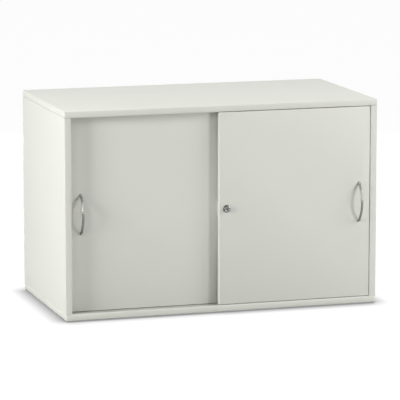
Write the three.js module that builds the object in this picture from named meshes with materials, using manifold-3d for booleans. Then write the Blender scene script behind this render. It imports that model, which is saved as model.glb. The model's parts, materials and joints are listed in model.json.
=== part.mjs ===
// A low office cabinet with two sliding doors, built as its separate pieces.
// Lengths are millimetres. +X runs along the width, +Y towards the back and +Z up.
// The pieces are placed from the middle of the carcass front at floor level, and the
// whole group is then moved so that the origin lies on the floor under the middle of its box.

import * as THREE from "three";
import { mergeVertices } from "three/addons/utils/BufferGeometryUtils.js";
import Module from "manifold-3d";

const wasm = await Module();
wasm.setup();

// Carcass boards
const cabinetWidth = 800;
const cabinetDepth = 425;
const sideHeight = 481;
const boardThickness = 16;
const edgeRadius = 1.5;
const topCornerRadius = 2;
const bottomCornerRadius = 5;

// Back panel and the groove that holds it
const backThickness = 8;
const backInset = 12;
const backGrooveDepth = 5;

// Sliding doors
const doorThickness = 16;
const doorRecess = 2;
const doorSpacing = 6;
const doorOverlap = 18;
const doorSideGap = 1.5;
const doorTopGap = 1.5;
const doorBottomGap = 1.5;
const doorEdgeRadius = 1.2;

// Tracks, let into the top and bottom boards
const channelWidth = 7;
const channelDepth = 5;
const trackFloor = 2;
const trackRim = 3;
const trackEndGap = 1;

// Rollers in the doors' bottom edges
const wheelRadius = 9;
const wheelWidth = 4;
const wheelChamfer = 0.6;
const wheelSideGap = 0.5;
const wheelHeadroom = 1;
const axleRadius = 1.5;
const axleClearance = 0.15;
const rollerInset = 60;
const rollerHousingLength = 36;
const rollerHousingWidth = 9.4;
const rollerHousingRoof = 3;

// Guide pins in the doors' top edges
const guideInset = 60;
const guideHousingLength = 24;
const guideHousingWidth = 9.6;
const guideHousingFloor = 1.5;
const guidePinRadius = 2.6;
const guidePinLength = 18;
const guidePinReach = 4;
const guidePinTravel = 6;
const guidePinSpareDepth = 0.5;
const guidePinChamfer = 0.8;
const guideCollarRadius = 3.3;
const guideCollarLength = 2;
const guideClearance = 0.2;

// Bow handles and their screws
const handleSpacing = 96;
const handleReach = 23;
const handleBarWidth = 6;
const handleBarDepth = 5;
const handleBarStart = 1.8;
const handleEdgeDistance = 28;
const handleFootRadius = 4;
const handleFootTopRadius = 3.1;
const handleFootHeight = 5.5;
const handleHoleDepth = 4.6;
const handleScrewRadius = 1.9;
const handleScrewGrip = 4;
const handleScrewHeadRadius = 3.8;
const handleScrewHeadHeight = 2.4;
const handleScrewHeadSink = 0.4;
const handleScrewSlotWidth = 0.9;
const handleScrewSlotDepth = 1.2;
const handleScrewSlotShare = 2 / 3;
const screwHoleClearance = 0.35;

// Push lock in the front door
const lockEdgeDistance = 18;
const lockBezelRadius = 10;
const lockBezelThickness = 1.5;
const lockBezelChamfer = 0.6;
const lockBarrelRadius = 9;
const lockMouthDepth = 3;
const lockRearWall = 2;
const lockNutThickness = 3;
const lockNutRadius = 12.5;
const lockBackMargin = 0.5;
const plungerRadius = 7;
const plungerReach = 7;
const plungerTravel = 5.5;
const plungerChamfer = 0.7;
const plungerFlangeRadius = 7.8;
const plungerFlangeThickness = 2;
const plungerClearance = 0.2;
const lockPinRadius = 3;
const keyPlugRadius = 5.2;
const keyPlugLength = 8.5;
const keyPlugSink = 0.3;
const keySlotWidth = 1.4;
const keySlotHeight = 6.5;
const keySlotDepth = 6;
const springWireRadius = 0.4;
const springRadius = 5;
const springTurns = 3;
const springEndGap = 0.3;
const strikeWidth = 12;
const strikeHeight = 34;
const strikeThickness = 4;
const strikeGap = 2;
const strikePegRadius = 2.5;
const strikePegLength = 9;
const strikePegSpacing = 22;

// Shelf, its pins and the rows of holes for them
const shelfThickness = 16;
const shelfDoorGap = 8;
const shelfBackGap = 2;
const shelfEdgeRadius = 1;
const holePitch = 32;
const holeRowCount = 9;
const shelfRow = 4;
const holeColumnInset = 37;
const holeDepth = 10;
const shelfPinRadius = 2.4;
const shelfPinSupportLength = 8;
const shelfPinCollarRadius = 4.5;
const shelfPinCollarThickness = 1.5;
const shelfPinEndGap = 1;
const shelfPinClearance = 0.15;

// Cams and bolts between the sides and the top board
const fixingInset = 60;
const camRadius = 7.3;
const camLength = 12.2;
const camDistance = 34;
const camClearance = 0.2;
const camCrossLength = 8;
const camCrossWidth = 1.6;
const camCrossDepth = 2.2;
const boltThreadRadius = 2.4;
const boltThreadLength = 11;
const boltShaftRadius = 3;
const boltNeckRadius = 1.8;
const boltNeckLength = 5;
const boltHeadRadius = 3;
const boltHeadLength = 6;
const boltClearance = 0.4;

// Screws through the bottom board into the sides
const carcassScrewLength = 50;
const carcassScrewHeadRadius = 4.8;
const carcassScrewHeadHeight = 4;
const carcassScrewShankRadius = 3.2;
const carcassScrewThreadRadius = 2.5;
const carcassScrewSink = 0.4;
const carcassScrewSocketRadius = 2;
const carcassScrewSocketDepth = 2.5;

// Glides under the bottom board
const glideHeight = 3;
const glideRadius = 15;
const glideChamfer = 1;
const glideInset = 45;
const glideStemRadius = 2.5;
const glideStemLength = 6;

// Shared clearances and drawing values
const fitGap = 0.3;
const overrun = 1;
const mergeTolerance = 0.001;
const roundSegments = 20;
const holeSegments = 8;
const cornerSegments = 2;
const bevelSegments = 2;
const bowSegments = 20;
const bowSectionSegments = 10;
const springSegmentsPerTurn = 8;
const springSectionSegments = 5;
const hexSides = 6;

// Heights and depths that follow from the sizes above
const innerHalfWidth = cabinetWidth / 2 - boardThickness;
const bottomBoardTop = glideHeight + boardThickness;
const topBoardBottom = bottomBoardTop + sideHeight;
const cabinetHeight = topBoardBottom + boardThickness;
const backFront = cabinetDepth - backInset - backThickness;
const backRear = cabinetDepth - backInset;
const doorWidth = innerHalfWidth + doorOverlap / 2 - doorSideGap;
const doorBottom = bottomBoardTop + doorBottomGap;
const doorTop = topBoardBottom - doorTopGap;
const doorMiddle = (doorBottom + doorTop) / 2;
const frontDoorFace = doorRecess;
const rearDoorFace = doorRecess + doorThickness + doorSpacing;
const frontChannel = frontDoorFace + doorThickness / 2;
const rearChannel = rearDoorFace + doorThickness / 2;
const trackFront = frontChannel - channelWidth / 2 - trackRim;
const trackRear = rearChannel + channelWidth / 2 + trackRim;
const trackHeight = channelDepth + trackFloor;
const bottomChannelFloor = bottomBoardTop - channelDepth;
const fixingDepths = [fixingInset, cabinetDepth - fixingInset];
const shelfFront = rearDoorFace + doorThickness + shelfDoorGap;
const shelfRear = backFront - shelfBackGap;
const holeColumns = [shelfFront + holeColumnInset, backFront - holeColumnInset];
const firstHoleHeight = bottomBoardTop + (sideHeight - (holeRowCount - 1) * holePitch) / 2;
const shelfPinHeight = firstHoleHeight + shelfRow * holePitch;
const shelfSideGap = shelfPinCollarThickness + fitGap;

// Directions
const alongX = new THREE.Vector3(1, 0, 0);
const alongY = new THREE.Vector3(0, 1, 0);
const alongZ = new THREE.Vector3(0, 0, 1);
const quarterTurn = Math.PI / 2;
const fullTurn = 2 * Math.PI;

// Materials
const melamine = new THREE.MeshStandardMaterial({ color: 0xdfe0d8, roughness: 0.55, metalness: 0 });
const brushedNickel = new THREE.MeshStandardMaterial({ color: 0xb9b9b6, roughness: 0.3, metalness: 1 });
const polishedNickel = new THREE.MeshStandardMaterial({ color: 0xc4c4c2, roughness: 0.15, metalness: 1 });
const zincSteel = new THREE.MeshStandardMaterial({ color: 0xa8a9a6, roughness: 0.4, metalness: 1 });
const greyPlastic = new THREE.MeshStandardMaterial({ color: 0xc9cac2, roughness: 0.5, metalness: 0 });
const whitePlastic = new THREE.MeshStandardMaterial({ color: 0xe8e8e2, roughness: 0.4, metalness: 0 });
const darkPlastic = new THREE.MeshStandardMaterial({ color: 0x3a3b3a, roughness: 0.6, metalness: 0 });

// Turning three.js geometry into solids, and back

function at(x, y, z) {
  return new THREE.Vector3(x, y, z);
}

function solidFrom(geometry) {
  const bare = geometry.index ? geometry.toNonIndexed() : geometry.clone();
  bare.deleteAttribute("normal");
  bare.deleteAttribute("uv");
  const merged = mergeVertices(bare, mergeTolerance);
  const mesh = new wasm.Mesh({
    numProp: 3,
    vertProperties: merged.attributes.position.array,
    triVerts: new Uint32Array(merged.index.array),
  });
  return new wasm.Manifold(mesh);
}

function geometryFrom(solid) {
  const { vertProperties, triVerts } = solid.getMesh();
  const geometry = new THREE.BufferGeometry();
  geometry.setAttribute("position", new THREE.BufferAttribute(vertProperties, 3));
  geometry.setIndex(new THREE.BufferAttribute(triVerts, 1));
  const faceted = geometry.toNonIndexed();
  faceted.computeVertexNormals();
  return faceted;
}

function withCuts(solid, cuts) {
  return cuts.reduce((rest, cut) => rest.subtract(cut), solid);
}

function joined(solids) {
  return solids.reduce((whole, part) => whole.add(part));
}

function moved(solid, place) {
  return solid.translate(place.toArray());
}

// A solid drawn in its own frame becomes a named mesh at its place
function piece(name, solid, material, place) {
  const mesh = new THREE.Mesh(geometryFrom(solid), material);
  mesh.name = name;
  mesh.position.copy(place);
  return mesh;
}

// Basic shapes

function block(low, high) {
  const size = high.clone().sub(low);
  const middle = low.clone().add(high).multiplyScalar(1 / 2);
  const geometry = new THREE.BoxGeometry(size.x, size.y, size.z);
  geometry.translate(middle.x, middle.y, middle.z);
  return solidFrom(geometry);
}

// A profile of [radius, distance] points, from axis to axis, turned about a direction
function turned(profile, direction, segments = roundSegments) {
  const points = profile.map(([radius, distance]) => new THREE.Vector2(radius, distance));
  const geometry = new THREE.LatheGeometry(points, segments);
  const swing = new THREE.Quaternion().setFromUnitVectors(alongY, direction);
  geometry.applyQuaternion(swing);
  return solidFrom(geometry);
}

function rod(radius, start, end, direction, segments = roundSegments) {
  const profile = [
    [0, start],
    [radius, start],
    [radius, end],
    [0, end],
  ];
  return turned(profile, direction, segments);
}

function roundedRectangle(width, height, radius) {
  const right = width / 2 - radius;
  const top = height / 2 - radius;
  const shape = new THREE.Shape();
  shape.absarc(right, top, radius, 0, quarterTurn);
  shape.absarc(-right, top, radius, quarterTurn, 2 * quarterTurn);
  shape.absarc(-right, -top, radius, 2 * quarterTurn, 3 * quarterTurn);
  shape.absarc(right, -top, radius, 3 * quarterTurn, fullTurn);
  shape.closePath();
  return shape;
}

// A board lying flat, centred in X and Y, from height 0 up, with its long edges eased
function easedBoard(width, depth, thickness, cornerRadius, easing) {
  const geometry = new THREE.ExtrudeGeometry(roundedRectangle(width, depth, cornerRadius), {
    depth: thickness - 2 * easing,
    curveSegments: cornerSegments,
    bevelEnabled: true,
    bevelThickness: easing,
    bevelSize: easing,
    bevelOffset: -easing,
    bevelSegments,
  });
  geometry.translate(0, 0, easing);
  return solidFrom(geometry);
}

// The same board standing up: width along X, height along Z, thickness from 0 towards +Y
function standingBoard(width, height, thickness, cornerRadius, easing) {
  const flat = geometryFrom(easedBoard(width, height, thickness, cornerRadius, easing));
  flat.rotateX(quarterTurn);
  flat.translate(0, thickness, 0);
  return solidFrom(flat);
}

function prism(shape, length, direction) {
  const geometry = new THREE.ExtrudeGeometry(shape, {
    depth: length,
    curveSegments: cornerSegments,
    bevelEnabled: false,
  });
  const swing = new THREE.Quaternion().setFromUnitVectors(alongZ, direction);
  geometry.applyQuaternion(swing);
  return solidFrom(geometry);
}

// Cuts shared by the boards, each in the frame of the carcass front

function backGroove() {
  const reach = innerHalfWidth + backGrooveDepth;
  return block(
    at(-reach, backFront - fitGap, bottomBoardTop - backGrooveDepth),
    at(reach, backRear + fitGap, topBoardBottom + backGrooveDepth),
  );
}

function trackGroove(low, high) {
  return block(
    at(-innerHalfWidth, trackFront - fitGap, low),
    at(innerHalfWidth, trackRear + fitGap, high),
  );
}

function carcassScrewProfile(clearance) {
  const headEnd = carcassScrewHeadHeight;
  return [
    [0, -clearance],
    [carcassScrewHeadRadius + clearance, -clearance],
    [carcassScrewHeadRadius + clearance, clearance],
    [carcassScrewShankRadius + clearance, headEnd + clearance],
    [carcassScrewShankRadius + clearance, boardThickness],
    [carcassScrewThreadRadius + clearance, boardThickness + clearance],
    [carcassScrewThreadRadius + clearance, carcassScrewLength + clearance],
    [0, carcassScrewLength + clearance],
  ];
}

function carcassScrewPlaces() {
  const sideMiddle = cabinetWidth / 2 - boardThickness / 2;
  return fixingDepths.flatMap((depth) => [
    at(-sideMiddle, depth, glideHeight + carcassScrewSink),
    at(sideMiddle, depth, glideHeight + carcassScrewSink),
  ]);
}

function carcassScrewHoles() {
  const hole = turned(carcassScrewProfile(fitGap), alongZ, holeSegments);
  const mouth = rod(carcassScrewHeadRadius + fitGap, -overrun, fitGap, alongZ, holeSegments);
  return carcassScrewPlaces().map((place) => moved(hole.add(mouth), place));
}

function boltPlaces() {
  const sideMiddle = cabinetWidth / 2 - boardThickness / 2;
  return fixingDepths.flatMap((depth) => [
    at(-sideMiddle, depth, topBoardBottom),
    at(sideMiddle, depth, topBoardBottom),
  ]);
}

function glidePlaces() {
  const across = cabinetWidth / 2 - glideInset;
  const depths = [glideInset, cabinetDepth - glideInset];
  return depths.flatMap((depth) => [at(-across, depth, 0), at(across, depth, 0)]);
}

// Boards

function bottomPanel() {
  const board = easedBoard(cabinetWidth, cabinetDepth, boardThickness, bottomCornerRadius, edgeRadius);
  const placed = moved(board, at(0, cabinetDepth / 2, glideHeight));
  const glideHole = rod(
    glideStemRadius + fitGap,
    glideHeight - overrun,
    glideHeight + glideStemLength + fitGap,
    alongZ,
    holeSegments,
  );
  const cuts = [
    backGroove(),
    trackGroove(bottomBoardTop - trackHeight - fitGap, bottomBoardTop + overrun),
    ...carcassScrewHoles(),
    ...glidePlaces().map((place) => moved(glideHole, place)),
  ];
  return piece("bottom_panel", withCuts(placed, cuts), melamine, at(0, 0, 0));
}

function topPanel() {
  const board = easedBoard(cabinetWidth, cabinetDepth, boardThickness, topCornerRadius, edgeRadius);
  const placed = moved(board, at(0, cabinetDepth / 2, topBoardBottom));
  const boltHole = rod(
    boltThreadRadius + fitGap,
    -overrun,
    boltThreadLength + fitGap,
    alongZ,
    holeSegments,
  );
  const cuts = [
    backGroove(),
    trackGroove(topBoardBottom - overrun, topBoardBottom + trackHeight + fitGap),
    ...boltPlaces().map((place) => moved(boltHole, place)),
  ];
  return piece("top_panel", withCuts(placed, cuts), melamine, at(0, 0, 0));
}

function shelfPinHoles() {
  const holeReach = innerHalfWidth + holeDepth;
  const hole = rod(shelfPinRadius + shelfPinClearance, -holeReach, holeReach, alongX, holeSegments);
  const rows = Array.from({ length: holeRowCount }, (_, row) => firstHoleHeight + row * holePitch);
  return holeColumns.flatMap((depth) => rows.map((height) => moved(hole, at(0, depth, height))));
}

function camHoles() {
  const camReach = innerHalfWidth + camLength + camClearance;
  const camHole = rod(camRadius + camClearance, -camReach, camReach, alongX);
  const boltHole = rod(boltShaftRadius + boltClearance, -camDistance, overrun, alongZ, holeSegments);
  const camHoleCuts = fixingDepths.map((depth) =>
    moved(camHole, at(0, depth, topBoardBottom - camDistance)),
  );
  return [...camHoleCuts, ...boltPlaces().map((place) => moved(boltHole, place))];
}

function sidePanel(name, direction) {
  const outline = roundedRectangle(boardThickness, cabinetDepth, edgeRadius);
  const middle = direction * (cabinetWidth / 2 - boardThickness / 2);
  const board = moved(
    prism(outline, sideHeight, alongZ),
    at(middle, cabinetDepth / 2, bottomBoardTop),
  );
  const cuts = [backGroove(), ...carcassScrewHoles(), ...shelfPinHoles(), ...camHoles()];
  return piece(name, withCuts(board, cuts), melamine, at(0, 0, 0));
}

function backPanel() {
  const reach = innerHalfWidth + backGrooveDepth - fitGap;
  const height = sideHeight + 2 * (backGrooveDepth - fitGap);
  const board = block(at(-reach, 0, 0), at(reach, backThickness, height));
  const lowest = bottomBoardTop - backGrooveDepth + fitGap;
  return piece("back_panel", board, melamine, at(0, backFront, lowest));
}

function shelf() {
  const width = 2 * (innerHalfWidth - shelfSideGap);
  const depth = shelfRear - shelfFront;
  const board = easedBoard(width, depth, shelfThickness, topCornerRadius, shelfEdgeRadius);
  const height = shelfPinHeight + shelfPinRadius + fitGap;
  return piece("shelf", board, melamine, at(0, (shelfFront + shelfRear) / 2, height));
}

// Small carcass parts

function shelfPins() {
  const pegLength = holeDepth - shelfPinEndGap;
  const profile = [
    [0, -pegLength],
    [shelfPinRadius, -pegLength],
    [shelfPinRadius, 0],
    [shelfPinCollarRadius, 0],
    [shelfPinCollarRadius, shelfPinCollarThickness],
    [shelfPinRadius, shelfPinCollarThickness],
    [shelfPinRadius, shelfPinCollarThickness + shelfPinSupportLength],
    [0, shelfPinCollarThickness + shelfPinSupportLength],
  ];
  const ends = ["front", "rear"];
  const sides = [
    ["left", -1],
    ["right", 1],
  ];
  return ends.flatMap((end, index) =>
    sides.map(([side, sign]) => {
      const inward = alongX.clone().multiplyScalar(-sign);
      const pin = turned(profile, inward, holeSegments);
      const place = at(sign * innerHalfWidth, holeColumns[index], shelfPinHeight);
      return piece(`shelf_pin_${end}_${side}`, pin, zincSteel, place);
    }),
  );
}

function glides() {
  const profile = [
    [0, 0],
    [glideRadius - glideChamfer, 0],
    [glideRadius, glideChamfer],
    [glideRadius, glideHeight],
    [glideStemRadius, glideHeight],
    [glideStemRadius, glideHeight + glideStemLength],
    [0, glideHeight + glideStemLength],
  ];
  const names = ["front_left", "front_right", "rear_left", "rear_right"];
  return glidePlaces().map((place, index) =>
    piece(`glide_${names[index]}`, turned(profile, alongZ), darkPlastic, place),
  );
}

function carcassScrews() {
  const socket = rod(
    carcassScrewSocketRadius,
    -overrun,
    carcassScrewSocketDepth,
    alongZ,
    hexSides,
  );
  const screw = turned(carcassScrewProfile(0), alongZ, holeSegments).subtract(socket);
  const names = ["front_left", "front_right", "rear_left", "rear_right"];
  return carcassScrewPlaces().map((place, index) =>
    piece(`carcass_screw_${names[index]}`, screw, zincSteel, place),
  );
}

function camBolts() {
  const headTop = -camDistance + boltHeadLength / 2;
  const headBottom = -camDistance - boltHeadLength / 2;
  const profile = [
    [0, headBottom],
    [boltHeadRadius, headBottom],
    [boltHeadRadius, headTop],
    [boltNeckRadius, headTop],
    [boltNeckRadius, headTop + boltNeckLength],
    [boltShaftRadius, headTop + boltNeckLength],
    [boltShaftRadius, 0],
    [boltThreadRadius, 0],
    [boltThreadRadius, boltThreadLength],
    [0, boltThreadLength],
  ];
  const names = ["front_left", "front_right", "rear_left", "rear_right"];
  return boltPlaces().map((place, index) =>
    piece(`cam_bolt_${names[index]}`, turned(profile, alongZ, holeSegments), zincSteel, place),
  );
}

// A cam's own frame has its axis along X, its open face at 0 and its body towards the side's outside
function cam(sign) {
  const outward = alongX.clone().multiplyScalar(sign);
  const body = rod(camRadius, 0, camLength, outward);
  const boltRoom = moved(
    rod(
      boltHeadRadius + boltClearance,
      -boltHeadLength / 2 - boltClearance,
      camRadius + overrun,
      alongZ,
      holeSegments,
    ),
    at((sign * boardThickness) / 2, 0, 0),
  );
  const armLength = camCrossLength / 2;
  const armWidth = camCrossWidth / 2;
  const upright = block(
    at(-camCrossDepth, -armWidth, -armLength),
    at(camCrossDepth, armWidth, armLength),
  );
  const level = block(
    at(-camCrossDepth, -armLength, -armWidth),
    at(camCrossDepth, armLength, armWidth),
  );
  return withCuts(body, [boltRoom, upright, level]);
}

function cams() {
  const ends = ["front", "rear"];
  const sides = [
    ["left", -1],
    ["right", 1],
  ];
  return ends.flatMap((end, index) =>
    sides.map(([side, sign]) => {
      const place = at(sign * innerHalfWidth, fixingDepths[index], topBoardBottom - camDistance);
      return piece(`cam_${end}_${side}`, cam(sign), zincSteel, place);
    }),
  );
}

// Tracks

// One outline in the plane of depth and height, with an open channel for each door
function trackOutline() {
  const halfChannel = channelWidth / 2;
  const shape = new THREE.Shape();
  shape.moveTo(trackFront, 0);
  shape.lineTo(trackRear, 0);
  shape.lineTo(trackRear, trackHeight);
  for (const channel of [rearChannel, frontChannel]) {
    shape.lineTo(channel + halfChannel, trackHeight);
    shape.lineTo(channel + halfChannel, trackFloor);
    shape.lineTo(channel - halfChannel, trackFloor);
    shape.lineTo(channel - halfChannel, trackHeight);
  }
  shape.lineTo(trackFront, trackHeight);
  shape.closePath();
  return shape;
}

// The outline's own X and Y become the cabinet's depth and height
function trackSolid() {
  const length = 2 * (innerHalfWidth - trackEndGap);
  const geometry = new THREE.ExtrudeGeometry(trackOutline(), { depth: length, bevelEnabled: false });
  geometry.rotateX(quarterTurn);
  geometry.rotateZ(quarterTurn);
  geometry.translate(-length / 2, 0, 0);
  return solidFrom(geometry);
}

function bottomTrack() {
  const place = at(0, 0, bottomBoardTop - trackHeight);
  return piece("bottom_track", trackSolid(), greyPlastic, place);
}

function topTrack() {
  const upsideDown = trackSolid().mirror(alongZ.toArray());
  const place = at(0, 0, topBoardBottom + trackHeight);
  return piece("top_track", upsideDown, greyPlastic, place);
}

// Doors. Each door has its own frame: the middle of its front face, with the panel towards +Y.

const halfDoorWidth = doorWidth / 2;
const doorHeight = doorTop - doorBottom;
const rollerPlaces = [-halfDoorWidth + rollerInset, halfDoorWidth - rollerInset];
const guidePlaces = [-halfDoorWidth + guideInset, halfDoorWidth - guideInset];
const axleHeight = bottomChannelFloor + fitGap + wheelRadius - doorMiddle;
const rollerHousingTop = axleHeight + wheelRadius + wheelHeadroom + rollerHousingRoof;
const guidePinTop = topBoardBottom + guidePinReach - doorMiddle;
const guidePinBottom = guidePinTop - guidePinLength;
const guideChamberBottom = guidePinBottom - guidePinTravel - guidePinSpareDepth;
const guideHousingBottom = guideChamberBottom - guideHousingFloor;

function rollerPocket(across) {
  const halfLength = rollerHousingLength / 2 + fitGap;
  const halfWidth = rollerHousingWidth / 2 + fitGap;
  return block(
    at(across - halfLength, doorThickness / 2 - halfWidth, -doorHeight / 2 - overrun),
    at(across + halfLength, doorThickness / 2 + halfWidth, rollerHousingTop + fitGap),
  );
}

function guidePocket(across) {
  const halfLength = guideHousingLength / 2 + fitGap;
  const halfWidth = guideHousingWidth / 2 + fitGap;
  return block(
    at(across - halfLength, doorThickness / 2 - halfWidth, guideHousingBottom - fitGap),
    at(across + halfLength, doorThickness / 2 + halfWidth, doorHeight / 2 + overrun),
  );
}

const screwHeadSeat = doorThickness - handleScrewHeadSink - handleScrewHeadHeight;

function handleScrewHoles(handleAcross) {
  const shank = rod(
    handleScrewRadius + screwHoleClearance,
    -overrun,
    doorThickness,
    alongY,
    holeSegments,
  );
  const head = rod(
    handleScrewHeadRadius + screwHoleClearance,
    screwHeadSeat - fitGap,
    doorThickness + overrun,
    alongY,
    holeSegments,
  );
  const hole = shank.add(head);
  return [-1, 1].map((end) => moved(hole, at(handleAcross, 0, (end * handleSpacing) / 2)));
}

function doorBoard(handleAcross) {
  const board = standingBoard(doorWidth, doorHeight, doorThickness, doorEdgeRadius, doorEdgeRadius / 2);
  const cuts = [
    ...rollerPlaces.map(rollerPocket),
    ...guidePlaces.map(guidePocket),
    ...handleScrewHoles(handleAcross),
  ];
  return withCuts(board, cuts);
}

function rollerHousing() {
  const halfLength = rollerHousingLength / 2;
  const halfWidth = rollerHousingWidth / 2;
  const body = block(
    at(-halfLength, -halfWidth, -doorHeight / 2),
    at(halfLength, halfWidth, rollerHousingTop),
  );
  const slotHalfLength = wheelRadius + wheelHeadroom;
  const slotHalfWidth = wheelWidth / 2 + wheelSideGap;
  const slot = block(
    at(-slotHalfLength, -slotHalfWidth, -doorHeight / 2 - overrun),
    at(slotHalfLength, slotHalfWidth, axleHeight + wheelRadius + wheelHeadroom),
  );
  const axleReach = slotHalfWidth + (halfWidth - slotHalfWidth) / 2;
  const axle = moved(rod(axleRadius, -axleReach, axleReach, alongY), at(0, 0, axleHeight));
  return body.subtract(slot).add(axle);
}

function wheel() {
  const half = wheelWidth / 2;
  const bore = axleRadius + axleClearance;
  const profile = [
    [bore, -half],
    [wheelRadius - wheelChamfer, -half],
    [wheelRadius, -half + wheelChamfer],
    [wheelRadius, half - wheelChamfer],
    [wheelRadius - wheelChamfer, half],
    [bore, half],
    [bore, -half],
  ];
  return turned(profile, alongY);
}

function guideHousing() {
  const halfLength = guideHousingLength / 2;
  const halfWidth = guideHousingWidth / 2;
  const body = block(
    at(-halfLength, -halfWidth, guideHousingBottom),
    at(halfLength, halfWidth, doorHeight / 2),
  );
  const chamberTop = guidePinBottom + guideCollarLength + fitGap;
  const chamber = rod(guideCollarRadius + guideClearance, guideChamberBottom, chamberTop, alongZ);
  const mouth = rod(guidePinRadius + guideClearance, chamberTop, doorHeight / 2 + overrun, alongZ);
  return withCuts(body, [chamber, mouth]);
}

function guidePin() {
  const profile = [
    [0, guidePinBottom],
    [guideCollarRadius, guidePinBottom],
    [guideCollarRadius, guidePinBottom + guideCollarLength],
    [guidePinRadius, guidePinBottom + guideCollarLength],
    [guidePinRadius, guidePinTop - guidePinChamfer],
    [guidePinRadius - guidePinChamfer, guidePinTop],
    [0, guidePinTop],
  ];
  return turned(profile, alongZ);
}

// A circular arc that would meet the door at the middle of each foot, and starts inside the foot
class BowPath extends THREE.Curve {
  getPoint(share, target = new THREE.Vector3()) {
    const halfSpacing = handleSpacing / 2;
    const radius = (halfSpacing ** 2 + handleReach ** 2) / (2 * handleReach);
    const halfTurn = Math.acos(1 - (handleReach - handleBarStart) / radius);
    const angle = halfTurn * (2 * share - 1);
    const out = handleReach - radius * (1 - Math.cos(angle));
    return target.set(0, -out, radius * Math.sin(angle));
  }
}

// The bar's section is drawn with its first axis along X and its second along the path's bend
function bowSection() {
  const points = Array.from({ length: bowSectionSegments }, (_, index) => {
    const angle = (fullTurn * index) / bowSectionSegments;
    return new THREE.Vector2(
      (handleBarWidth / 2) * Math.cos(angle),
      (handleBarDepth / 2) * Math.sin(angle),
    );
  });
  return new THREE.Shape(points);
}

function handleSolid() {
  const bar = solidFrom(
    new THREE.ExtrudeGeometry(bowSection(), {
      steps: bowSegments,
      bevelEnabled: false,
      extrudePath: new BowPath(),
    }),
  );
  const foot = turned(
    [
      [0, 0],
      [handleFootRadius, 0],
      [handleFootTopRadius, -handleFootHeight],
      [0, -handleFootHeight],
    ].reverse(),
    alongY,
  );
  const screwHole = rod(
    handleScrewRadius + screwHoleClearance / 2,
    -handleHoleDepth,
    overrun,
    alongY,
    holeSegments,
  );
  const ends = [-handleSpacing / 2, handleSpacing / 2];
  const feet = ends.map((height) => moved(foot, at(0, 0, height)));
  const holes = ends.map((height) => moved(screwHole, at(0, 0, height)));
  return withCuts(joined([bar, ...feet]), holes);
}

function handleScrew() {
  const headTop = screwHeadSeat + handleScrewHeadHeight;
  const profile = [
    [0, -handleScrewGrip],
    [handleScrewRadius, -handleScrewGrip],
    [handleScrewRadius, screwHeadSeat],
    [handleScrewHeadRadius, screwHeadSeat],
    [handleScrewHeadRadius, headTop],
    [0, headTop],
  ];
  const slotFloor = headTop - handleScrewSlotDepth;
  const halfSlot = handleScrewSlotWidth / 2;
  const halfArm = handleScrewHeadRadius * handleScrewSlotShare;
  const upright = block(
    at(-halfSlot, slotFloor, -halfArm),
    at(halfSlot, headTop + overrun, halfArm),
  );
  const level = block(
    at(-halfArm, slotFloor, -halfSlot),
    at(halfArm, headTop + overrun, halfSlot),
  );
  return withCuts(turned(profile, alongY, holeSegments), [upright, level]);
}

// The pieces that both doors have, named after their door
function doorFittings(doorName, handleAcross) {
  const sides = ["left", "right"];
  const doorCentre = doorThickness / 2;
  const ends = [
    ["upper", 1],
    ["lower", -1],
  ];
  return [
    piece(`${doorName}_handle`, handleSolid(), brushedNickel, at(handleAcross, 0, 0)),
    ...ends.map(([end, sign]) =>
      piece(
        `${doorName}_handle_screw_${end}`,
        handleScrew(),
        zincSteel,
        at(handleAcross, 0, (sign * handleSpacing) / 2),
      ),
    ),
    ...rollerPlaces.flatMap((across, index) => [
      piece(
        `${doorName}_roller_housing_${sides[index]}`,
        rollerHousing(),
        greyPlastic,
        at(across, doorCentre, 0),
      ),
      piece(
        `${doorName}_wheel_${sides[index]}`,
        wheel(),
        whitePlastic,
        at(across, doorCentre, axleHeight),
      ),
    ]),
    ...guidePlaces.flatMap((across, index) => [
      piece(
        `${doorName}_guide_housing_${sides[index]}`,
        guideHousing(),
        greyPlastic,
        at(across, doorCentre, 0),
      ),
      piece(
        `${doorName}_guide_pin_${sides[index]}`,
        guidePin(),
        whitePlastic,
        at(across, doorCentre, 0),
      ),
    ]),
  ];
}

// Lock. Its frame has the axis along Y, with the front door's face at 0.

const lockAcross = -halfDoorWidth + lockEdgeDistance;
const lockBarrelEnd = doorThickness - lockBackMargin;
const nutFront = lockBarrelEnd - lockNutThickness;
const chamberEnd = lockBarrelEnd - lockRearWall;
const plungerFlangeFront = lockMouthDepth + fitGap;
const plungerRear = plungerFlangeFront + plungerFlangeThickness;
const keyPlugFront = -plungerReach + keyPlugSink;
const keyPlugRear = keyPlugFront + keyPlugLength;

function lockHoles() {
  const barrel = rod(lockBarrelRadius + fitGap, -overrun, doorThickness + overrun, alongY);
  const nutRoom = rod(lockNutRadius + fitGap, nutFront - fitGap, doorThickness + overrun, alongY);
  return [barrel, nutRoom].map((cut) => moved(cut, at(lockAcross, 0, 0)));
}

function lockHousing() {
  const mouth = plungerRadius + plungerClearance;
  const chamber = plungerFlangeRadius + plungerClearance;
  const pinHole = lockPinRadius + plungerClearance;
  const profile = [
    [mouth, -lockBezelThickness],
    [mouth, lockMouthDepth],
    [chamber, lockMouthDepth],
    [chamber, chamberEnd],
    [pinHole, chamberEnd],
    [pinHole, lockBarrelEnd],
    [lockBarrelRadius, lockBarrelEnd],
    [lockBarrelRadius, 0],
    [lockBezelRadius, 0],
    [lockBezelRadius, -lockBezelThickness + lockBezelChamfer],
    [lockBezelRadius - lockBezelChamfer, -lockBezelThickness],
    [mouth, -lockBezelThickness],
  ];
  return turned(profile.reverse(), alongY);
}

function lockNut() {
  const body = rod(lockNutRadius, nutFront, lockBarrelEnd, alongY, hexSides);
  const bore = rod(
    lockBarrelRadius + fitGap / 2,
    nutFront - overrun,
    lockBarrelEnd + overrun,
    alongY,
  );
  return body.subtract(bore);
}

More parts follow.
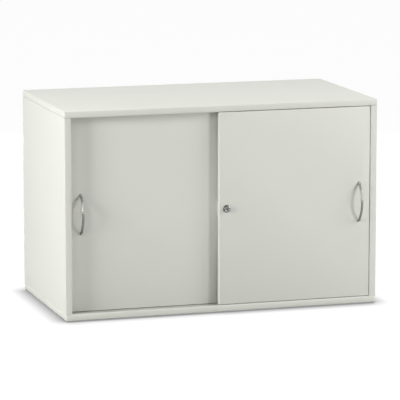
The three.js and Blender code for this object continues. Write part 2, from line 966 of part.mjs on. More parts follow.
function lockPlunger() {
  const pinTip = doorThickness - lockBackMargin;
  const profile = [
    [0, -plungerReach],
    [plungerRadius - plungerChamfer, -plungerReach],
    [plungerRadius, -plungerReach + plungerChamfer],
    [plungerRadius, plungerFlangeFront],
    [plungerFlangeRadius, plungerFlangeFront],
    [plungerFlangeRadius, plungerRear],
    [lockPinRadius, plungerRear],
    [lockPinRadius, pinTip],
    [0, pinTip],
  ];
  const plugRoom = rod(
    keyPlugRadius + plungerClearance,
    -plungerReach - overrun,
    keyPlugRear + fitGap,
    alongY,
  );
  return turned(profile, alongY).subtract(plugRoom);
}

function keyPlug() {
  const body = rod(keyPlugRadius, keyPlugFront, keyPlugRear, alongY);
  const slot = block(
    at(-keySlotWidth / 2, keyPlugFront - overrun, -keySlotHeight / 2),
    at(keySlotWidth / 2, keyPlugFront + keySlotDepth, keySlotHeight / 2),
  );
  return body.subtract(slot);
}

class SpringPath extends THREE.Curve {
  getPoint(share, target = new THREE.Vector3()) {
    const angle = fullTurn * springTurns * share;
    const start = plungerRear + springEndGap + springWireRadius;
    const end = chamberEnd - springEndGap - springWireRadius;
    return target.set(
      springRadius * Math.cos(angle),
      start + (end - start) * share,
      springRadius * Math.sin(angle),
    );
  }
}

function lockSpring() {
  const points = Array.from({ length: springSectionSegments }, (_, index) => {
    const angle = (fullTurn * index) / springSectionSegments;
    return new THREE.Vector2(springWireRadius * Math.cos(angle), springWireRadius * Math.sin(angle));
  });
  return solidFrom(
    new THREE.ExtrudeGeometry(new THREE.Shape(points), {
      steps: springTurns * springSegmentsPerTurn,
      bevelEnabled: false,
      extrudePath: new SpringPath(),
    }),
  );
}

function lockPieces() {
  const place = at(lockAcross, 0, 0);
  return [
    piece("lock_housing", lockHousing(), polishedNickel, place),
    piece("lock_nut", lockNut(), zincSteel, place),
    piece("lock_plunger", lockPlunger(), polishedNickel, place),
    piece("lock_key_plug", keyPlug(), brushedNickel, place),
    piece("lock_spring", lockSpring(), zincSteel, place),
  ];
}

// The strike stands on the rear door's face, beside the path of the lock's pin

const frontDoorAcross = innerHalfWidth - doorSideGap - halfDoorWidth;
const rearDoorAcross = -frontDoorAcross;
const strikeRightEdge = frontDoorAcross + lockAcross - lockPinRadius - strikeGap;
const strikeAcross = strikeRightEdge - strikeWidth / 2 - rearDoorAcross;

function strikePegs(clearance) {
  const peg = rod(
    strikePegRadius + clearance,
    -overrun,
    strikePegLength + clearance,
    alongY,
    holeSegments,
  );
  return [-1, 1].map((end) => moved(peg, at(strikeAcross, 0, (end * strikePegSpacing) / 2)));
}

function lockStrike() {
  const plate = block(
    at(strikeAcross - strikeWidth / 2, -strikeThickness, -strikeHeight / 2),
    at(strikeAcross + strikeWidth / 2, 0, strikeHeight / 2),
  );
  return joined([plate, ...strikePegs(0)]);
}

function frontDoor() {
  const handleAcross = halfDoorWidth - handleEdgeDistance;
  const board = withCuts(doorBoard(handleAcross), lockHoles());
  const door = new THREE.Group();
  door.add(
    piece("front_door_panel", board, melamine, at(0, 0, 0)),
    ...doorFittings("front_door", handleAcross),
    ...lockPieces(),
  );
  door.position.set(frontDoorAcross, frontDoorFace, doorMiddle);
  return door;
}

function rearDoor() {
  const handleAcross = -halfDoorWidth + handleEdgeDistance;
  const board = withCuts(doorBoard(handleAcross), strikePegs(fitGap));
  const door = new THREE.Group();
  door.add(
    piece("rear_door_panel", board, melamine, at(0, 0, 0)),
    ...doorFittings("rear_door", handleAcross),
    piece("lock_strike", lockStrike(), greyPlastic, at(0, 0, 0)),
  );
  door.position.set(rearDoorAcross, rearDoorFace, doorMiddle);
  return door;
}

// Whole cabinet

const cabinet = new THREE.Group();
cabinet.add(
  bottomPanel(),
  topPanel(),
  sidePanel("left_side_panel", -1),
  sidePanel("right_side_panel", 1),
  backPanel(),
  shelf(),
  ...shelfPins(),
  ...glides(),
  ...carcassScrews(),
  ...camBolts(),
  ...cams(),
  bottomTrack(),
  topTrack(),
  frontDoor(),
  rearDoor(),
);

const foremost = frontDoorFace - handleReach - handleBarDepth / 2;
cabinet.position.y = -(foremost + cabinetDepth) / 2;

export default cabinet;
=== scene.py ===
"""The looks of the sliding door cabinet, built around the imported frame.

Lengths are metres and angles are degrees, in the frame's own axes: +X along the width,
+Y from the doors to the back and +Z up, with the origin on the floor.
"""

import json
import math

import bmesh
import bpy
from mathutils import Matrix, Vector


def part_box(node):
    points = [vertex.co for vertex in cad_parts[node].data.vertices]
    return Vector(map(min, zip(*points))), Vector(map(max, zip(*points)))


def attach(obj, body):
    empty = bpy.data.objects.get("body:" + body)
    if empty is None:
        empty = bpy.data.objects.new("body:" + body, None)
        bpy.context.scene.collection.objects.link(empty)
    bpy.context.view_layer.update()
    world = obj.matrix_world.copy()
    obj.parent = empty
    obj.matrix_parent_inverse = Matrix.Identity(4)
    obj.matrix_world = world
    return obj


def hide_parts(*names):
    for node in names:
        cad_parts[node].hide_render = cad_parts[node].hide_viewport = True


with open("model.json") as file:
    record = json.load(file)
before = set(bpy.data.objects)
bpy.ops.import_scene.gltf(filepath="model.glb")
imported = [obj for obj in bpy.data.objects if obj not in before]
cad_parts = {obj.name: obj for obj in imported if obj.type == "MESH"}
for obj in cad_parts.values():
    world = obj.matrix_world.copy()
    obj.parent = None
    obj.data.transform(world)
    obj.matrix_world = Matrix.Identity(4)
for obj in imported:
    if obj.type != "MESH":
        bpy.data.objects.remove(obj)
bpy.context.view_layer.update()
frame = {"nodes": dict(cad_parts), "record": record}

# Camera, in the frame's axes
CAMERA_AZIMUTH = -17.157
CAMERA_ELEVATION = 9.617
CAMERA_PLACE = (-2.0665, -6.70025, 1.4375)
CAMERA_LENS = 254.07
CAMERA_SENSOR = 36.0
CAMERA_CLIP = (0.1, 100.0)

# Light: each lamp's azimuth and elevation from the target, its distance, size and power
WHITE = (1.0, 1.0, 1.0, 1.0)
WORLD_LIGHT = 0.02
BACKGROUND_LIGHT = 1.0
LIGHT_TARGET = (0.0, -0.1, 0.26)
LAMPS = {
    "left_key": (-73.0, 11.0, 3.0, (0.7, 0.8), 45.0),
    "left_wash": (-90.0, 38.0, 3.0, (1.2, 1.2), 23.0),
    "left_front": (-45.0, 30.0, 3.0, (1.0, 1.0), 12.0),
    "right_front": (42.0, 9.0, 3.0, (0.6, 0.8), 28.0),
    "right_side": (65.0, 25.0, 3.0, (0.9, 0.9), 30.0),
    "overhead": (135.0, 82.0, 3.0, (1.2, 1.2), 38.0),
    "behind": (165.0, 0.0, 3.0, (1.2, 0.4), 30.0),
}

# Floor: its own colour for the light that it throws back, and another where it is seen
FLOOR_SIZE = 30.0
FLOOR_COLOUR = (0.45, 0.45, 0.45)
FLOOR_LIT_COLOUR = (0.06, 0.06, 0.06)
FLOOR_GLOW = 0.97
# Painted shadow: the floor's glow darkens near what stands on it, over this width
FLOOR_PAINTED_SHADOW_WIDTH = 0.045
FLOOR_PAINTED_SHADOW_DEPTH = 1.25
FLOOR_PAINTED_SHADOW_DARKEST = 0.3
FLOOR_PAINTED_SHADOW_SAMPLES = 16

# Surface colours
BOARD_COLOUR = (0.745, 0.752, 0.690)
NICKEL_COLOUR = (0.23, 0.23, 0.22)
BRIGHT_NICKEL_COLOUR = (0.30, 0.30, 0.29)
ZINC_COLOUR = (0.55, 0.56, 0.55)
GREY_PLASTIC_COLOUR = (0.56, 0.57, 0.53)
WHITE_PLASTIC_COLOUR = (0.78, 0.78, 0.75)
DARK_PLASTIC_COLOUR = (0.03, 0.03, 0.03)

# Finishes: noise scales in features per metre, bump depths in metres
BOARD_ROUGHNESS = (0.47, 0.57)
BOARD_DRIFT = (0.985, 1.012)
BOARD_DRIFT_SCALE = 9.0
BOARD_DRIFT_DETAIL = 2.0
BOARD_POLISH_SCALE = 60.0
BOARD_PEARL_SCALE = 1400.0
BOARD_NOISE_DETAIL = 3.0
BOARD_PEARL_STRENGTH = 0.10
BOARD_PEARL_DEPTH = 0.0004
BOARD_SPECULAR = 0.4
BRUSH_ROUGHNESS = (0.22, 0.34)
BRUSH_SCALE = 900.0
BRUSH_STRETCH = (1.0, 1.0, 0.12)
BRUSH_STRENGTH = 0.12
TURNING_ROUGHNESS = (0.10, 0.22)
TURNING_SCALE = 1500.0
TURNING_STRENGTH = 0.06
ZINC_ROUGHNESS = (0.30, 0.48)
ZINC_SHADES = (0.88, 1.08)
ZINC_SPANGLE_SCALE = 400.0
METAL_NOISE_DETAIL = 2.0
METAL_BUMP_DEPTH = 0.0001
GREY_PLASTIC_ROUGHNESS = 0.45
WHITE_PLASTIC_ROUGHNESS = 0.35
DARK_PLASTIC_ROUGHNESS = 0.55
PLASTIC_SHADES = (0.96, 1.03)
PLASTIC_MOTTLE_SCALE = 120.0
PLASTIC_SPARK_SCALE = 2500.0
PLASTIC_NOISE_DETAIL = 2.0
PLASTIC_SPARK_STRENGTH = 0.15
PLASTIC_SPARK_DEPTH = 0.0002

# Smoothing
WELD_DISTANCE = 0.00001
SHARP_ANGLE = 50.0

# Handles: the frame's node has a round foot, and the bow's own end is a little slimmer
HANDLE_BAR_WIDTH = 0.006
HANDLE_BAR_DEPTH = 0.005
HANDLE_FOOT_RADIUS = 0.004
HANDLE_TIP_RADIUS = 0.0033
HANDLE_FLARE_LENGTH = 0.009
HANDLE_STEPS = 96
HANDLE_SECTION_POINTS = 28

# Turned pieces
TURN_POINTS = 72
CORNER_STEPS = 5

# Lock
BEZEL_THICKNESS = 0.0015
BEZEL_EDGE = 0.0006
MOUTH_SHARE = 0.72
MOUTH_DEPTH = 0.003
BARREL_SHARE = 0.9
REAR_WALL = 0.002
LOCK_CLEARANCE = 0.0002
PIN_RADIUS = 0.003
BUTTON_EDGE = 0.0007
BUTTON_LIP = 0.0003
FLANGE_STEP = 0.0008
FLANGE_GAP = 0.0003
FLANGE_THICKNESS = 0.002
PLUG_EDGE = 0.0003
GROOVE_SHARE = 0.74
GROOVE_WIDTH = 0.0004
GROOVE_DEPTH = 0.0003
KEY_SLOT_WIDTH = 0.0014
KEY_SLOT_HEIGHT = 0.0065
KEY_SLOT_DEPTH = 0.006
KEY_WARD_WIDTH = 0.0006
KEY_WARD_HEIGHT = 0.0016
KEY_WARD_DROP_SHARE = 0.2


def direction_from(azimuth, elevation):
    """The direction from the object to something at an azimuth from its front and an elevation."""
    azimuth, elevation = math.radians(azimuth), math.radians(elevation)
    return Vector((
        math.sin(azimuth) * math.cos(elevation),
        -math.cos(azimuth) * math.cos(elevation),
        math.sin(elevation),
    ))


def face_along(thing, direction):
    """Turns a camera or a lamp to face along a direction, with its top upwards."""
    thing.rotation_mode = "QUATERNION"
    thing.rotation_quaternion = direction.to_track_quat("-Z", "Y")


def make_camera():
    data = bpy.data.cameras.new("camera")
    camera = bpy.data.objects.new("camera", data)
    bpy.context.scene.collection.objects.link(camera)
    camera.location = CAMERA_PLACE
    face_along(camera, -direction_from(CAMERA_AZIMUTH, CAMERA_ELEVATION))
    data.sensor_width = CAMERA_SENSOR
    data.lens = CAMERA_LENS
    data.clip_start, data.clip_end = CAMERA_CLIP
    bpy.context.scene.camera = camera


def make_lamp(name, azimuth, elevation, distance, size, power):
    data = bpy.data.lights.new(name, "AREA")
    data.shape = "RECTANGLE"
    data.size, data.size_y = size
    data.energy = power
    lamp = bpy.data.objects.new(name, data)
    direction = direction_from(azimuth, elevation)
    lamp.location = Vector(LIGHT_TARGET) + direction * distance
    face_along(lamp, -direction)
    bpy.context.scene.collection.objects.link(lamp)


def seen_directly(tree):
    """One where a ray comes from the camera, a mirror or a clear surface, and zero elsewhere."""
    path = tree.nodes.new("ShaderNodeLightPath")
    first = tree.nodes.new("ShaderNodeMath")
    first.operation = "MAXIMUM"
    second = tree.nodes.new("ShaderNodeMath")
    second.operation = "MAXIMUM"
    tree.links.new(path.outputs["Is Camera Ray"], first.inputs[0])
    tree.links.new(path.outputs["Is Glossy Ray"], first.inputs[1])
    tree.links.new(first.outputs[0], second.inputs[0])
    tree.links.new(path.outputs["Is Transmission Ray"], second.inputs[1])
    return second.outputs[0]


def make_world():
    world = bpy.data.worlds.new("studio")
    bpy.context.scene.world = world
    world.use_nodes = True
    tree = world.node_tree
    tree.nodes.clear()
    light = tree.nodes.new("ShaderNodeBackground")
    light.inputs["Strength"].default_value = WORLD_LIGHT
    backdrop = tree.nodes.new("ShaderNodeBackground")
    backdrop.inputs["Strength"].default_value = BACKGROUND_LIGHT
    for background in (light, backdrop):
        background.inputs["Color"].default_value = WHITE
    mix = tree.nodes.new("ShaderNodeMixShader")
    output = tree.nodes.new("ShaderNodeOutputWorld")
    tree.links.new(seen_directly(tree), mix.inputs[0])
    tree.links.new(light.outputs[0], mix.inputs[1])
    tree.links.new(backdrop.outputs[0], mix.inputs[2])
    tree.links.new(mix.outputs[0], output.inputs["Surface"])


def floor_material():
    """A grey floor that glows white where it is seen, with a painted shadow on it.

    Painted shade: the glow is darkened by how much is near the floor, as under soft light from all
    round; only the faint lit part takes the lamps' real shadow.
    """
    material = bpy.data.materials.new("floor")
    material.use_nodes = True
    tree = material.node_tree
    tree.nodes.clear()
    unseen = tree.nodes.new("ShaderNodeBsdfDiffuse")
    unseen.inputs["Color"].default_value = (*FLOOR_COLOUR, 1.0)
    openness = tree.nodes.new("ShaderNodeAmbientOcclusion")
    openness.samples = FLOOR_PAINTED_SHADOW_SAMPLES
    openness.inputs["Distance"].default_value = FLOOR_PAINTED_SHADOW_WIDTH
    # Painted shadow: the glow is darkened where things stand close to the floor
    painted_shade = tree.nodes.new("ShaderNodeMath")
    painted_shade.operation = "POWER"
    painted_shade.inputs[1].default_value = FLOOR_PAINTED_SHADOW_DEPTH
    kept = tree.nodes.new("ShaderNodeMath")
    kept.operation = "MAXIMUM"
    kept.inputs[1].default_value = FLOOR_PAINTED_SHADOW_DARKEST
    glow = tree.nodes.new("ShaderNodeEmission")
    glow_strength = tree.nodes.new("ShaderNodeMath")
    glow_strength.operation = "MULTIPLY"
    glow_strength.inputs[1].default_value = FLOOR_GLOW
    lit = tree.nodes.new("ShaderNodeBsdfDiffuse")
    lit.inputs["Color"].default_value = (*FLOOR_LIT_COLOUR, 1.0)
    shown = tree.nodes.new("ShaderNodeAddShader")
    mix = tree.nodes.new("ShaderNodeMixShader")
    output = tree.nodes.new("ShaderNodeOutputMaterial")
    tree.links.new(openness.outputs["AO"], painted_shade.inputs[0])
    tree.links.new(painted_shade.outputs[0], kept.inputs[0])
    tree.links.new(kept.outputs[0], glow_strength.inputs[0])
    tree.links.new(glow_strength.outputs[0], glow.inputs["Strength"])
    tree.links.new(glow.outputs[0], shown.inputs[0])
    tree.links.new(lit.outputs[0], shown.inputs[1])
    tree.links.new(seen_directly(tree), mix.inputs[0])
    tree.links.new(unseen.outputs[0], mix.inputs[1])
    tree.links.new(shown.outputs[0], mix.inputs[2])
    tree.links.new(mix.outputs[0], output.inputs["Surface"])
    return material


def make_floor():
    bpy.ops.mesh.primitive_plane_add(size=FLOOR_SIZE)
    floor = bpy.context.object
    floor.name = "floor"
    floor.data.materials.append(floor_material())


def principled(name, colour, metallic=0.0):
    """A new material with its shader node, and the object's own coordinates to texture it with."""
    material = bpy.data.materials.new(name)
    material.use_nodes = True
    tree = material.node_tree
    shader = tree.nodes["Principled BSDF"]
    shader.inputs["Base Color"].default_value = (*colour, 1.0)
    shader.inputs["Metallic"].default_value = metallic
    coordinates = tree.nodes.new("ShaderNodeTexCoord")
    return material, tree, shader, coordinates.outputs["Object"]


def noise(tree, place, scale, detail, stretch=None):
    """Noise over a surface, drawn out along an axis where stretch says so."""
    texture = tree.nodes.new("ShaderNodeTexNoise")
    texture.inputs["Scale"].default_value = scale
    texture.inputs["Detail"].default_value = detail
    if stretch:
        mapping = tree.nodes.new("ShaderNodeMapping")
        mapping.inputs["Scale"].default_value = stretch
        tree.links.new(place, mapping.inputs["Vector"])
        place = mapping.outputs["Vector"]
    tree.links.new(place, texture.inputs["Vector"])
    return texture.outputs["Fac"]


def to_range(tree, value, limits):
    ranged = tree.nodes.new("ShaderNodeMapRange")
    ranged.inputs["To Min"].default_value, ranged.inputs["To Max"].default_value = limits
    tree.links.new(value, ranged.inputs["Value"])
    return ranged.outputs["Result"]


def shade_colour(tree, shader, colour, value):
    """Multiplies a colour by a value that varies over the surface."""
    scale = tree.nodes.new("ShaderNodeVectorMath")
    scale.operation = "SCALE"
    scale.inputs[0].default_value = colour
    tree.links.new(value, scale.inputs["Scale"])
    tree.links.new(scale.outputs["Vector"], shader.inputs["Base Color"])


def add_bump(tree, shader, height, strength, distance):
    bump = tree.nodes.new("ShaderNodeBump")
    bump.inputs["Strength"].default_value = strength
    bump.inputs["Distance"].default_value = distance
    tree.links.new(height, bump.inputs["Height"])
    tree.links.new(bump.outputs["Normal"], shader.inputs["Normal"])


def board_material():
    """Light grey melamine: a fine pearl texture, and a colour that drifts very slightly."""
    material, tree, shader, place = principled("light_grey_melamine", BOARD_COLOUR)
    drift = noise(tree, place, BOARD_DRIFT_SCALE, BOARD_DRIFT_DETAIL)
    shade_colour(tree, shader, BOARD_COLOUR, to_range(tree, drift, BOARD_DRIFT))
    polish = noise(tree, place, BOARD_POLISH_SCALE, BOARD_NOISE_DETAIL)
    tree.links.new(to_range(tree, polish, BOARD_ROUGHNESS), shader.inputs["Roughness"])
    pearl = noise(tree, place, BOARD_PEARL_SCALE, BOARD_NOISE_DETAIL)
    add_bump(tree, shader, pearl, BOARD_PEARL_STRENGTH, BOARD_PEARL_DEPTH)
    shader.inputs["Specular IOR Level"].default_value = BOARD_SPECULAR
    return material


def nickel_material():
    """Satin nickel, brushed along its height."""
    material, tree, shader, place = principled("satin_nickel", NICKEL_COLOUR, metallic=1.0)
    brush = noise(tree, place, BRUSH_SCALE, METAL_NOISE_DETAIL, BRUSH_STRETCH)
    tree.links.new(to_range(tree, brush, BRUSH_ROUGHNESS), shader.inputs["Roughness"])
    add_bump(tree, shader, brush, BRUSH_STRENGTH, METAL_BUMP_DEPTH)
    return material


def bright_nickel_material():
    """Polished nickel with faint marks from turning."""
    material, tree, shader, place = principled("bright_nickel", BRIGHT_NICKEL_COLOUR, metallic=1.0)
    turning = noise(tree, place, TURNING_SCALE, METAL_NOISE_DETAIL)
    tree.links.new(to_range(tree, turning, TURNING_ROUGHNESS), shader.inputs["Roughness"])
    add_bump(tree, shader, turning, TURNING_STRENGTH, METAL_BUMP_DEPTH)
    return material


def zinc_material():
    """Zinc plate with its faint patchy spangle."""
    material, tree, shader, place = principled("zinc_plate", ZINC_COLOUR, metallic=1.0)
    spangle = noise(tree, place, ZINC_SPANGLE_SCALE, METAL_NOISE_DETAIL)
    shade_colour(tree, shader, ZINC_COLOUR, to_range(tree, spangle, ZINC_SHADES))
    tree.links.new(to_range(tree, spangle, ZINC_ROUGHNESS), shader.inputs["Roughness"])
    return material


def plastic_material(name, colour, roughness):
    """Moulded plastic with a fine spark-eroded texture."""
    material, tree, shader, place = principled(name, colour)
    shader.inputs["Roughness"].default_value = roughness
    mottle = noise(tree, place, PLASTIC_MOTTLE_SCALE, PLASTIC_NOISE_DETAIL)
    shade_colour(tree, shader, colour, to_range(tree, mottle, PLASTIC_SHADES))
    spark = noise(tree, place, PLASTIC_SPARK_SCALE, PLASTIC_NOISE_DETAIL)
    add_bump(tree, shader, spark, PLASTIC_SPARK_STRENGTH, PLASTIC_SPARK_DEPTH)
    return material


def smoothing_nodes():
    """A node group that joins a node's facets and shades its small turns as smooth."""
    group = bpy.data.node_groups.new("smooth_small_turns", "GeometryNodeTree")
    group.interface.new_socket("Geometry", in_out="INPUT", socket_type="NodeSocketGeometry")
    group.interface.new_socket("Geometry", in_out="OUTPUT", socket_type="NodeSocketGeometry")
    start = group.nodes.new("NodeGroupInput")
    end = group.nodes.new("NodeGroupOutput")
    weld = group.nodes.new("GeometryNodeMergeByDistance")
    weld.inputs["Distance"].default_value = WELD_DISTANCE
    angle = group.nodes.new("GeometryNodeInputMeshEdgeAngle")
    gentle = group.nodes.new("FunctionNodeCompare")
    gentle.operation = "LESS_THAN"
    gentle.inputs[1].default_value = math.radians(SHARP_ANGLE)
    faces = group.nodes.new("GeometryNodeSetShadeSmooth")
    faces.domain = "FACE"
    edges = group.nodes.new("GeometryNodeSetShadeSmooth")
    edges.domain = "EDGE"
    group.links.new(start.outputs[0], weld.inputs["Geometry"])
    group.links.new(weld.outputs["Geometry"], faces.inputs["Geometry"])
    group.links.new(faces.outputs["Geometry"], edges.inputs["Geometry"])
    group.links.new(angle.outputs["Unsigned Angle"], gentle.inputs[0])
    group.links.new(gentle.outputs["Result"], edges.inputs["Shade Smooth"])
    group.links.new(edges.outputs["Geometry"], end.inputs[0])
    return group


def dress_frame_nodes(materials):
    """Gives every node of the frame its material and its smooth shading."""
    group = smoothing_nodes()
    slots = {part["node"]: part["material_slot"] for part in frame["record"]["subparts"]}
    for name, node in frame["nodes"].items():
        node.data.materials.clear()
        node.data.materials.append(materials[slots[name]])
        smooth = node.modifiers.new("smooth_small_turns", "NODES")
        smooth.node_group = group


def mesh_piece(name, points, faces, material):
    mesh = bpy.data.meshes.new(name)
    mesh.from_pydata(points, [], faces)
    mesh.update()
    piece = bpy.data.objects.new(name, mesh)
    bpy.context.scene.collection.objects.link(piece)
    mesh.materials.append(material)
    return piece


def ring_faces(rings, count, closed_ends=True):
    """Faces between successive rings of count points, and over both ends."""
    faces = []
    for ring in range(rings - 1):
        for point in range(count):
            following = (point + 1) % count
            first = ring * count
            faces.append((
                first + point,
                first + following,
                first + count + following,
                first + count + point,
            ))
    if closed_ends:
        faces.append(tuple(reversed(range(count))))
        faces.append(tuple(range((rings - 1) * count, rings * count)))
    return faces


def ease(share):
    """A smooth step from 0 to 1."""
    share = min(max(share, 0.0), 1.0)
    return share * share * (3.0 - 2.0 * share)


def bow_path(spacing, reach):
    """Points along the bow's circular arc, each with its distance from the door and its height."""
    radius = ((spacing / 2) ** 2 + reach ** 2) / (2 * reach)
    half_turn = math.asin(spacing / 2 / radius)
    path = []
    for step in range(HANDLE_STEPS + 1):
        turn = half_turn * (2 * step / HANDLE_STEPS - 1)
        path.append((reach - radius * (1 - math.cos(turn)), radius * math.sin(turn)))
    return path


def make_handle(name, node, body, material):
    """One cast bow, whose section turns to lie flat on the door at each end."""
    low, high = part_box(node)
    middle = (low + high) / 2
    door_face = high.y
    reach = high.y - low.y - HANDLE_BAR_DEPTH / 2
    spacing = high.z - low.z - 2 * HANDLE_FOOT_RADIUS
    path = bow_path(spacing, reach)
    # How far along the bow each point is
    lengths = [0.0]
    for (out_a, height_a), (out_b, height_b) in zip(path, path[1:]):
        lengths.append(lengths[-1] + math.hypot(out_b - out_a, height_b - height_a))
    points = []
    for index, (out, height) in enumerate(path):
        before = path[max(index - 1, 0)]
        after = path[min(index + 1, len(path) - 1)]
        along = Vector((0.0, -(after[0] - before[0]), after[1] - before[1])).normalized()
        from_end = min(lengths[index], lengths[-1] - lengths[index])
        slim = ease(from_end / HANDLE_FLARE_LENGTH)
        square_on = Vector((0.0, -1.0 if height < 0 else 1.0, 0.0))
        across = square_on.lerp(along, slim).normalized().cross(Vector((1.0, 0.0, 0.0)))
        half_width = HANDLE_TIP_RADIUS + (HANDLE_BAR_WIDTH / 2 - HANDLE_TIP_RADIUS) * slim
        half_depth = HANDLE_TIP_RADIUS + (HANDLE_BAR_DEPTH / 2 - HANDLE_TIP_RADIUS) * slim
        centre = Vector((middle.x, door_face - out, middle.z + height))
        for step in range(HANDLE_SECTION_POINTS):
            turn = 2 * math.pi * step / HANDLE_SECTION_POINTS
            sideways = Vector((half_width * math.cos(turn), 0.0, 0.0))
            points.append(centre + sideways + across * (half_depth * math.sin(turn)))
    faces = ring_faces(len(path), HANDLE_SECTION_POINTS)
    piece = mesh_piece(name, points, faces, material)
    clean_mesh(piece)
    stand_in(piece, node, body)


def turned_points(profile, centre):
    """Rings of points from a profile of (radius, Y) turned about a centre line along Y."""
    points = []
    for radius, y in profile:
        for step in range(TURN_POINTS):
            turn = 2 * math.pi * step / TURN_POINTS
            x = centre.x + radius * math.cos(turn)
            z = centre.z + radius * math.sin(turn)
            points.append(Vector((x, y, z)))
    return points


def rounded(radius, distance, size, axis_side, end_side):
    """Profile points round a corner, from the face across the axis to the face along it.

    The corner's sharp point is at (radius, distance). The axis side is -1 where the material
    lies towards the axis, and the end side says which way along the axis the material lies.
    """
    points = []
    for step in range(CORNER_STEPS + 1):
        turn = math.pi / 2 * step / CORNER_STEPS
        points.append((
            radius + axis_side * size * (1 - math.sin(turn)),
            distance + end_side * size * (1 - math.cos(turn)),
        ))
    return points


def clean_mesh(piece):
    """Joins doubled points, turns the faces outwards and shades only small turns as smooth."""
    mesh = bmesh.new()
    mesh.from_mesh(piece.data)
    bmesh.ops.remove_doubles(mesh, verts=mesh.verts, dist=WELD_DISTANCE)
    bmesh.ops.recalc_face_normals(mesh, faces=mesh.faces)
    mesh.to_mesh(piece.data)
    mesh.free()
    piece.data.shade_smooth()
    piece.data.set_sharp_from_angle(angle=math.radians(SHARP_ANGLE))


def turned_piece(name, profile, centre, material):
    """A closed body of revolution from a closed profile."""
    points = turned_points(profile + profile[:1], centre)
    faces = ring_faces(len(profile) + 1, TURN_POINTS, closed_ends=False)
    piece = mesh_piece(name, points, faces, material)
    clean_mesh(piece)
    return piece


def stand_in(piece, node, body):
    """Lets a piece ride its body in place of one of the frame's nodes."""
    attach(piece, body)
    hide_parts(node)


def cut_box(piece, low, high):
    """Takes a block out of a piece."""
    middle = (low + high) / 2
    bpy.ops.mesh.primitive_cube_add(size=1.0, location=middle)
    cutter = bpy.context.object
    cutter.scale = high - low
    cut = piece.modifiers.new("cut", "BOOLEAN")
    cut.object = cutter
    cut.operation = "DIFFERENCE"
    cut.solver = "EXACT"
    bpy.context.view_layer.update()
    evaluated = piece.evaluated_get(bpy.context.evaluated_depsgraph_get())
    result = bpy.data.meshes.new_from_object(evaluated)
    piece.modifiers.remove(cut)
    piece.data = result
    bpy.data.objects.remove(cutter)
    clean_mesh(piece)


def make_lock_housing(material):
    """The lock's fixed barrel with its ring on the door's face."""
    low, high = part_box("lock_housing")
    plunger_low, plunger_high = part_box("lock_plunger")
    centre = (low + high) / 2
    ring = (high.z - low.z) / 2
    face = low.y + BEZEL_THICKNESS
    mouth = ring * MOUTH_SHARE
    barrel = ring * BARREL_SHARE
    chamber = (plunger_high.z - plunger_low.z) / 2 + LOCK_CLEARANCE
    chamber_front = face + MOUTH_DEPTH
    chamber_rear = high.y - REAR_WALL
    pin_hole = PIN_RADIUS + LOCK_CLEARANCE
    profile = [(mouth + BEZEL_EDGE / 2, low.y)]
    profile += rounded(ring, low.y, BEZEL_EDGE, -1, 1)
    profile += [
        (ring, face),
        (barrel, face),
        (barrel, high.y),
        (pin_hole, high.y),
        (pin_hole, chamber_rear),
        (chamber, chamber_rear),
        (chamber, chamber_front),
        (mouth, chamber_front),
        (mouth, low.y + BEZEL_EDGE / 2),
    ]
    housing = turned_piece("lock_barrel", profile, centre, material)
    stand_in(housing, "lock_housing", "front_door")


def make_lock_plunger(material):
    """The button that is pushed in to lock, with its pin behind and a well for the key plug."""
    low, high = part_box("lock_plunger")
    plug_low, plug_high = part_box("lock_key_plug")
    housing_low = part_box("lock_housing")[0]
    centre = (low + high) / 2
    flange = (high.z - low.z) / 2
    button = flange - FLANGE_STEP
    flange_front = housing_low.y + BEZEL_THICKNESS + MOUTH_DEPTH + FLANGE_GAP
    flange_rear = flange_front + FLANGE_THICKNESS
    well = (plug_high.z - plug_low.z) / 2 + LOCK_CLEARANCE
    well_floor = plug_high.y + FLANGE_GAP
    profile = [(0.0, well_floor), (well, well_floor)]
    profile += [(well, low.y + BUTTON_LIP), (well + BUTTON_LIP, low.y)]
    profile += rounded(button, low.y, BUTTON_EDGE, -1, 1)
    profile += [
        (button, flange_front),
        (flange, flange_front),
        (flange, flange_rear),
        (PIN_RADIUS, flange_rear),
        (PIN_RADIUS, high.y),
        (0.0, high.y),
    ]
    plunger = turned_piece("lock_button", profile, centre, material)
    stand_in(plunger, "lock_plunger", "lock_plunger")


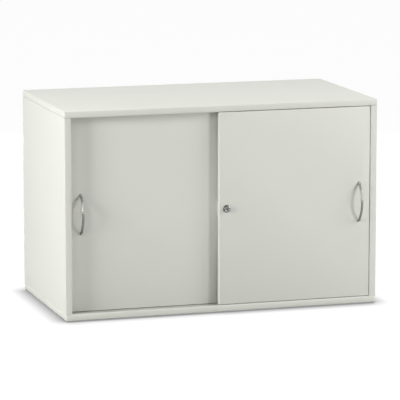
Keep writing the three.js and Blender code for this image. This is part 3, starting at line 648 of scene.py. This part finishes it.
def make_key_plug(material):
    """The plug that the key turns, with a turned groove round its face and the slot for the key."""
    low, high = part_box("lock_key_plug")
    centre = (low + high) / 2
    radius = (high.z - low.z) / 2
    groove_inner = radius * GROOVE_SHARE
    groove_outer = groove_inner + GROOVE_WIDTH
    profile = [(0.0, low.y), (groove_inner, low.y)]
    profile += [(groove_inner, low.y + GROOVE_DEPTH), (groove_outer, low.y + GROOVE_DEPTH)]
    profile += [(groove_outer, low.y)]
    profile += rounded(radius, low.y, PLUG_EDGE, -1, 1)
    profile += [(radius, high.y), (0.0, high.y)]
    plug = turned_piece("lock_plug", profile, centre, material)
    half = Vector((KEY_SLOT_WIDTH / 2, KEY_SLOT_DEPTH, KEY_SLOT_HEIGHT / 2))
    mouth = Vector((centre.x, low.y, centre.z))
    cut_box(plug, mouth - half, mouth + half)
    ward = Vector((KEY_WARD_WIDTH, KEY_SLOT_DEPTH, KEY_WARD_HEIGHT / 2))
    drop = KEY_SLOT_HEIGHT * KEY_WARD_DROP_SHARE
    beside = Vector((centre.x + KEY_SLOT_WIDTH / 2, low.y, centre.z - drop))
    cut_box(plug, beside - ward, beside + ward)
    stand_in(plug, "lock_key_plug", "lock_key_plug")


def make_studio():
    make_camera()
    make_world()
    make_floor()
    for name, settings in LAMPS.items():
        make_lamp(name, *settings)
    bpy.context.scene.view_settings.view_transform = "Standard"


def make_materials():
    """The materials, under the names of the record's slots."""
    return {
        "board": board_material(),
        "brushed_nickel": nickel_material(),
        "polished_nickel": bright_nickel_material(),
        "plated_steel": zinc_material(),
        "grey_plastic": plastic_material(
            "grey_plastic", GREY_PLASTIC_COLOUR, GREY_PLASTIC_ROUGHNESS,
        ),
        "white_plastic": plastic_material(
            "white_plastic", WHITE_PLASTIC_COLOUR, WHITE_PLASTIC_ROUGHNESS,
        ),
        "dark_plastic": plastic_material(
            "dark_plastic", DARK_PLASTIC_COLOUR, DARK_PLASTIC_ROUGHNESS,
        ),
    }


make_studio()
materials = make_materials()
dress_frame_nodes(materials)
make_handle("front_bow", "front_door_handle", "front_door", materials["brushed_nickel"])
make_handle("rear_bow", "rear_door_handle", "rear_door", materials["brushed_nickel"])
make_lock_housing(materials["polished_nickel"])
make_lock_plunger(materials["polished_nickel"])
make_key_plug(materials["brushed_nickel"])
